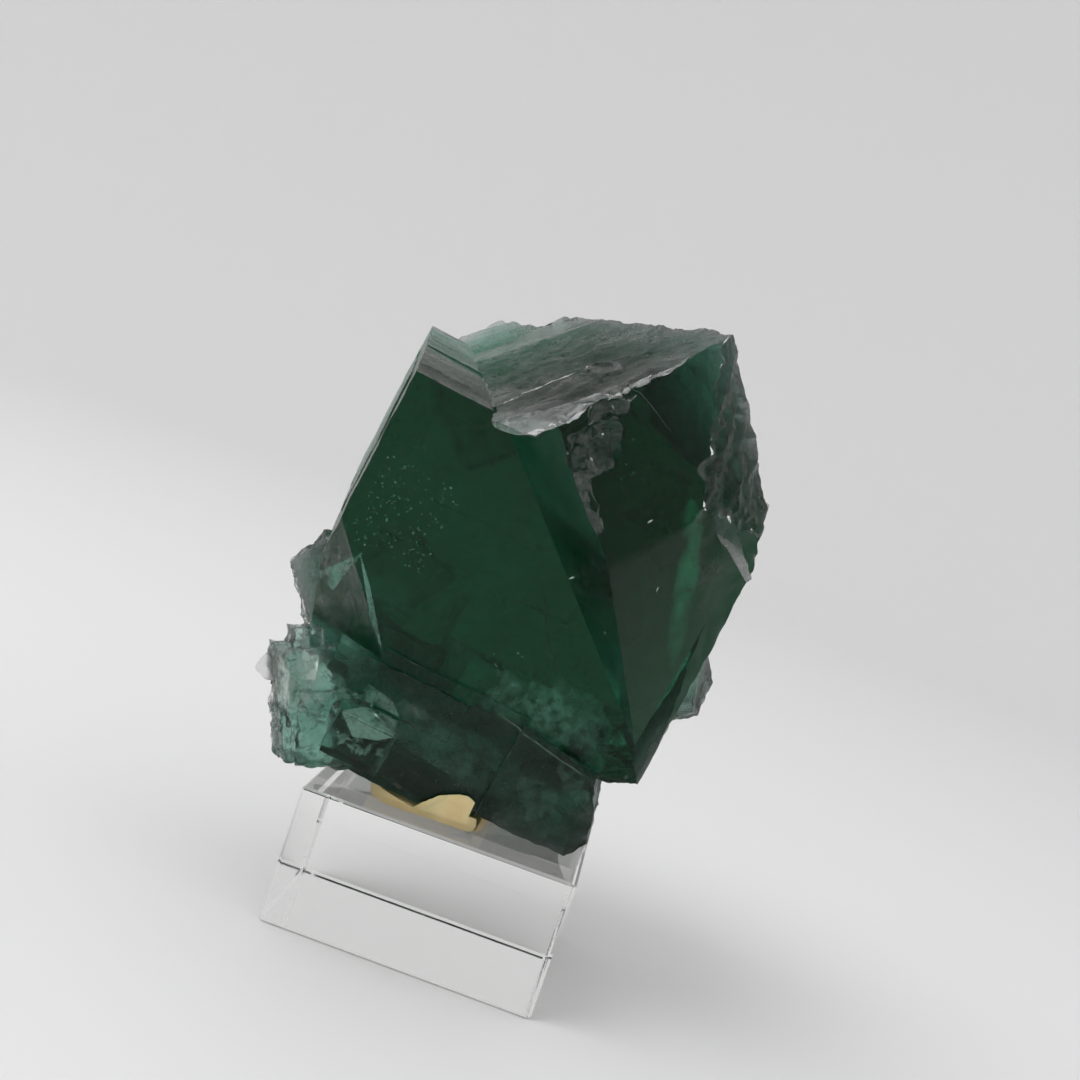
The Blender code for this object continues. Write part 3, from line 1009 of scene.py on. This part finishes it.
def studio_light():
    """Pale even surroundings and one large soft lamp above the left shoulder."""
    world = bpy.data.worlds.new("Studio")
    world.use_nodes = True
    set_inputs(world.node_tree.nodes["Background"], Color=ROOM_GREY, Strength=1.0)
    bpy.context.scene.world = world
    lamp = bpy.data.lights.new("Soft lamp", "AREA")
    lamp.shape = "DISK"
    lamp.size = LAMP_SIZE
    lamp.energy = LAMP_WATTS
    holder = bpy.data.objects.new("Soft lamp", lamp)
    holder.location = LAMP_PLACE
    direction = Vector(LAMP_PLACE) - Vector(LAMP_AIM)
    holder.rotation_euler = direction.to_track_quat("Z", "Y").to_euler()
    bpy.context.scene.collection.objects.link(holder)


def photo_camera():
    """Camera at the photograph's viewing angle, with its roll."""
    data = bpy.data.cameras.new("Photo camera")
    data.lens = CAMERA_LENS
    data.sensor_width = SENSOR
    data.clip_start, data.clip_end = CAMERA_CLIP
    camera = bpy.data.objects.new("Photo camera", data)
    columns = np.array([CAMERA_RIGHT, np.negative(CAMERA_DOWN), np.negative(CAMERA_FORWARD)]).T
    camera.matrix_world = Matrix.LocRotScale(
        [value * MM for value in CAMERA_PLACE], Matrix(columns.tolist()).to_quaternion(), None)
    bpy.context.scene.collection.objects.link(camera)
    bpy.context.scene.camera = camera


# Sheets inside the crystals, such as cracks, milky veils, a green sheet that paints the light
# shining through the thin edge at the right, and the haze in the depth: crystal, middle, half
# sides, half thickness and ripple in mm
CRACKS = (
    (BROAD, (1.5, 1.6, -23.0), (1.6, 0.2, 0.3), (0.1, 0.9, 1.2), 0.03, 0.15),
    (BROAD, (2.6, 2.4, -21.0), (1.2, 0.5, 0.6), (-0.5, 0.3, 1.3), 0.03, 0.2),
    (BROAD, (4.2, 1.2, -24.2), (1.5, 0.4, -0.4), (0.2, 0.8, 0.8), 0.03, 0.15),
    (BROAD, (7.6, -1.8, -22.9), (1.1, 0.2, 0.2), (0.1, 1.1, 0.5), 0.02, 0.1),
    (TWIN, (1.6, 4.2, -13.5), (0.5, 0.3, 2.8), (0.9, -0.9, 0.2), 0.03, 0.1),
)
VEILS = (
    (BROAD, (18.8, 0.9, -17.4), (4.6, 0.2, -0.6), (0.3, 0.5, 2.2), 0.03, 0.25),
    (BROAD, (20.4, 1.6, -16.6), (3.0, 0.5, -0.4), (0.2, 0.4, 2.0), 0.03, 0.25),
    (BROAD, (14.0, 0.3, -22.6), (5.5, 0.1, -0.5), (0.2, 0.1, 1.8), 0.03, 0.2),
    (BROAD, (21.4, -0.4, -23.2), (2.4, 0.1, -1.6), (0.6, 0.1, 1.1), 0.03, 0.15),
    (BROAD, (22.6, -0.4, -20.6), (1.6, 0.1, -1.2), (0.4, 0.1, 0.7), 0.03, 0.15),
)
# Painted light: a green sheet that brightens the twin's thin edge, where light shines through
GLOW = (
    (TWIN, (2.2, 8.2, -15.0), (1.9, 1.8, -5.0), (0.1, 0.8, 0.4), 0.03, 0.05),
    (TWIN, (1.0, 6.9, -10.6), (0.3, 0.5, -1.6), (0.05, 0.7, 0.3), 0.03, 0.05),
)
HAZE = (
    (BROAD, (10.0, 5.0, -10.0), (9.0, 1.5, 0.0), (0.0, 1.5, 9.5), 0.03, 0.9),
    (BROAD, (12.0, 8.5, -12.0), (11.0, -1.5, 0.0), (0.5, 1.0, 10.0), 0.03, 0.9),
)

# Plates just under the faces that throw the light back, as painted light: on the ledge's lit
# faces, as a highlight on the pale cubes, and behind a facet lit through; crystal or part, and
# corners in mm
PART = (np.zeros(3), np.eye(3))
# Painted light: pale plates under the ledge's faces, which make them bright
LEDGE_LIGHT_PLATES = (
    (BROAD, ((5.9, -3.75, -22.12), (9.75, -3.75, -22.12), (9.75, -0.8, -22.12),
             (7.6, -0.8, -22.12))),
    (BROAD, ((5.95, -3.7, -22.2), (9.7, -3.7, -22.2), (8.8, -3.6, -22.9), (7.3, -3.6, -23.4))),
    (BROAD, ((6.9, -0.5, -20.7), (8.8, -0.5, -21.0), (9.8, -0.5, -21.85), (6.5, -0.5, -21.85))),
)
# Painted highlight: near-white plates at the brightest spot of the pale cubes
HIGHLIGHT_PLATES = (
    (PART, ((-13.1, -10.9, 19.0), (-11.5, -11.2, 19.2), (-11.2, -11.3, 17.6),
            (-12.4, -11.1, 17.2))),
    (PART, ((-13.2, -10.9, 17.2), (-12.2, -11.2, 17.0), (-11.6, -11.2, 15.7),
            (-12.9, -10.9, 15.6))),
    (PART, ((-13.09, -12.21, 18.22), (-14.18, -10.42, 18.22), (-13.30, -9.88, 15.2),
            (-12.21, -11.68, 15.2))),
)
# Painted light: pale green plates behind a facet of the broad crystal, where light shines through
# it
FACET_LIGHT_PLATES = (
    (BROAD, ((2.1, 0.2, -12.75), (3.9, 0.2, -14.7), (6.7, 0.2, -18.4), (4.9, 0.3, -16.7))),
    (BROAD, ((0.7, 4.2, -16.2), (2.0, 2.0, -16.5), (2.4, 0.5, -12.9))),
)

# Chips on the faces, pale flakes that also paint the glints seen on them: crystal, place and size
# in mm
CHIPS_AND_GLINTS = (
    (TWIN, (6.13, 13.87, -12.22), 0.36),
    (TWIN, (0.45, 9.83, -0.99), 0.2),
    (TWIN, (0.82, 12.23, -3.57), 0.28),
    (TWIN, (0.2, 11.2, -2.2), 0.14),
    (TWIN, (0.0, 10.12, -8.77), 0.32),
    (TWIN, (1.33, 10.51, -13.75), 0.24),
    (TWIN, (4.1, 13.88, -15.99), 0.12),
)

# Pale flakes in the ledge that paint its glints: corners of the box that holds them, count, and
# least and most size
LEDGE_GLINT_FLAKES = ((6.3, -3.5, -24.6), (9.6, -1.0, -22.3), 34)
LEDGE_GLINT_SIZES = (0.15, 0.5)

# Specks inside: crystal, corners of a box in mm, count and seed, and least and most size
SPECKS = (
    (BROAD, (0.8, 0.1, -12.5), (6.5, 1.2, -6.0), 420, 1),
    (BROAD, (13.0, 0.3, -18.6), (24.0, 2.0, -14.0), 260, 2),
    (BROAD, (11.0, -0.3, -25.0), (24.0, 1.0, -21.0), 60, 3),
    (TWIN, (0.5, 7.5, -9.0), (2.0, 11.0, -2.0), 50, 4),
    (BROAD, (9.0, -0.3, -26.0), (24.0, 0.6, -20.0), 160, 14),
)
SPECK_SIZES = (0.03, 0.12)

# Threads on the faces: name, crystal, route, half widths in mm, material and colour
DARK_CRACK = ("Dark crack", (0.01, 0.03, 0.02))
THREADS = (
    ("front_crack", BROAD,
     ((13.85, 0.02, -8.9), (14.75, 0.02, -10.0), (15.9, 0.02, -11.8), (17.6, 0.02, -13.9)),
     (0.035, 0.05), DARK_CRACK),
    ("side_crack", TWIN,
     ((0.0, 8.64, 0.0), (0.02, 7.96, -0.8), (0.02, 7.33, -2.2), (0.02, 6.66, -4.1)),
     (0.05, 0.06), DARK_CRACK),
    ("pale_seam", BROAD,
     ((15.5, -0.42, -18.5), (17.4, -0.42, -18.8), (17.9, -0.92, -18.9), (21.0, -0.92, -19.4),
      (24.3, -0.92, -19.7)), (0.025, 0.04), ("Pale seam", (0.16, 0.27, 0.22))),
)

# Finish of each chip, and of each sheet (milky veils and haze, and sheets of painted light) with
# the size and the most of its noise
CHIP_LOOKS = {
    "chips_with_painted_glints": ("Chips with painted glints", (0.85, 0.92, 0.88)),
    "ledge_glints": ("Ledge glints", (0.60, 0.85, 0.74)),
    "inner_specks": ("Inner specks", (0.22, 0.42, 0.33)),
}
SHEET_LOOKS = {
    "milky_veils": ("Milky veil", (0.40, 0.80, 0.62), 1300.0, 0.36),
    "ledge_light_plates": ("Ledge painted light", (0.50, 0.86, 0.70), 520.0, 2.6),
    "highlight_plates": ("Painted highlight", (0.85, 1.0, 0.93), 1300.0, 2.2),
    "facet_light_plates": ("Facet painted light", (0.35, 0.66, 0.55), 500.0, 1.2),
    "green_glow": ("Green glow", (0.02, 0.44, 0.21), 330.0, 0.60),
    "soft_haze": ("Soft haze", (0.55, 0.80, 0.68), 160.0, 0.16),
}


def random_sizes(seed, limits, count):
    """Sizes in metres, evenly random between two limits in mm."""
    return np.random.default_rng(seed).uniform(*limits, count) * MM


photo_camera()
studio_floor()
studio_light()

grain = grain_group()
crystals = fluorite_crystals()
crystals.data.materials.append(crystal_material(grain))

# Chips with painted glints, flakes that paint the ledge's glints, and specks inside
glint_chip_places = np.array([in_part(place, crystal) for crystal, place, _ in CHIPS_AND_GLINTS])
glint_chip_sizes = np.array([size for _, _, size in CHIPS_AND_GLINTS]) * MM
ledge_glint_places = scatter(BROAD, *LEDGE_GLINT_FLAKES, 8)
speck_places = np.concatenate([scatter(*row) for row in SPECKS])
for chips in (
        flakes("chips_with_painted_glints", glint_chip_places, glint_chip_sizes, 5),
        flakes("ledge_glints", ledge_glint_places,
               random_sizes(9, LEDGE_GLINT_SIZES, len(ledge_glint_places)), 10),
        flakes("inner_specks", speck_places,
               random_sizes(6, SPECK_SIZES, len(speck_places)), 7)):
    chips.data.materials.append(chip_material(*CHIP_LOOKS[chips.name]))

cracks = lens_sheets("inner_cracks", CRACKS, 11)
cracks.data.materials.append(crack_material())
# Milky veils and haze, and sheets of painted light on the ledge, the pale cubes, a facet and the
# twin's thin edge
for inner_sheet in (
        lens_sheets("milky_veils", VEILS, 13), plates("ledge_light_plates", LEDGE_LIGHT_PLATES),
        plates("highlight_plates", HIGHLIGHT_PLATES), plates("facet_light_plates", FACET_LIGHT_PLATES),
        lens_sheets("green_glow", GLOW, 23), lens_sheets("soft_haze", HAZE, 17)):
    inner_sheet.data.materials.append(sheet_material(*SHEET_LOOKS[inner_sheet.name]))

for name, crystal, route, widths, look in THREADS:
    crack = thread(name, crystal, route, widths)
    crack.data.materials.append(bpy.data.materials.get(look[0]) or chip_material(*look))

tack = pressed_tack()
tack.data.materials.append(tack_material(grain))

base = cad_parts["acrylic_base"].data
base.materials.clear()
base.materials.append(acrylic_material(grain))

bpy.context.scene.view_settings.view_transform = "Standard"
cycles = bpy.context.scene.cycles
cycles.max_bounces, cycles.transmission_bounces, cycles.glossy_bounces = BOUNCES
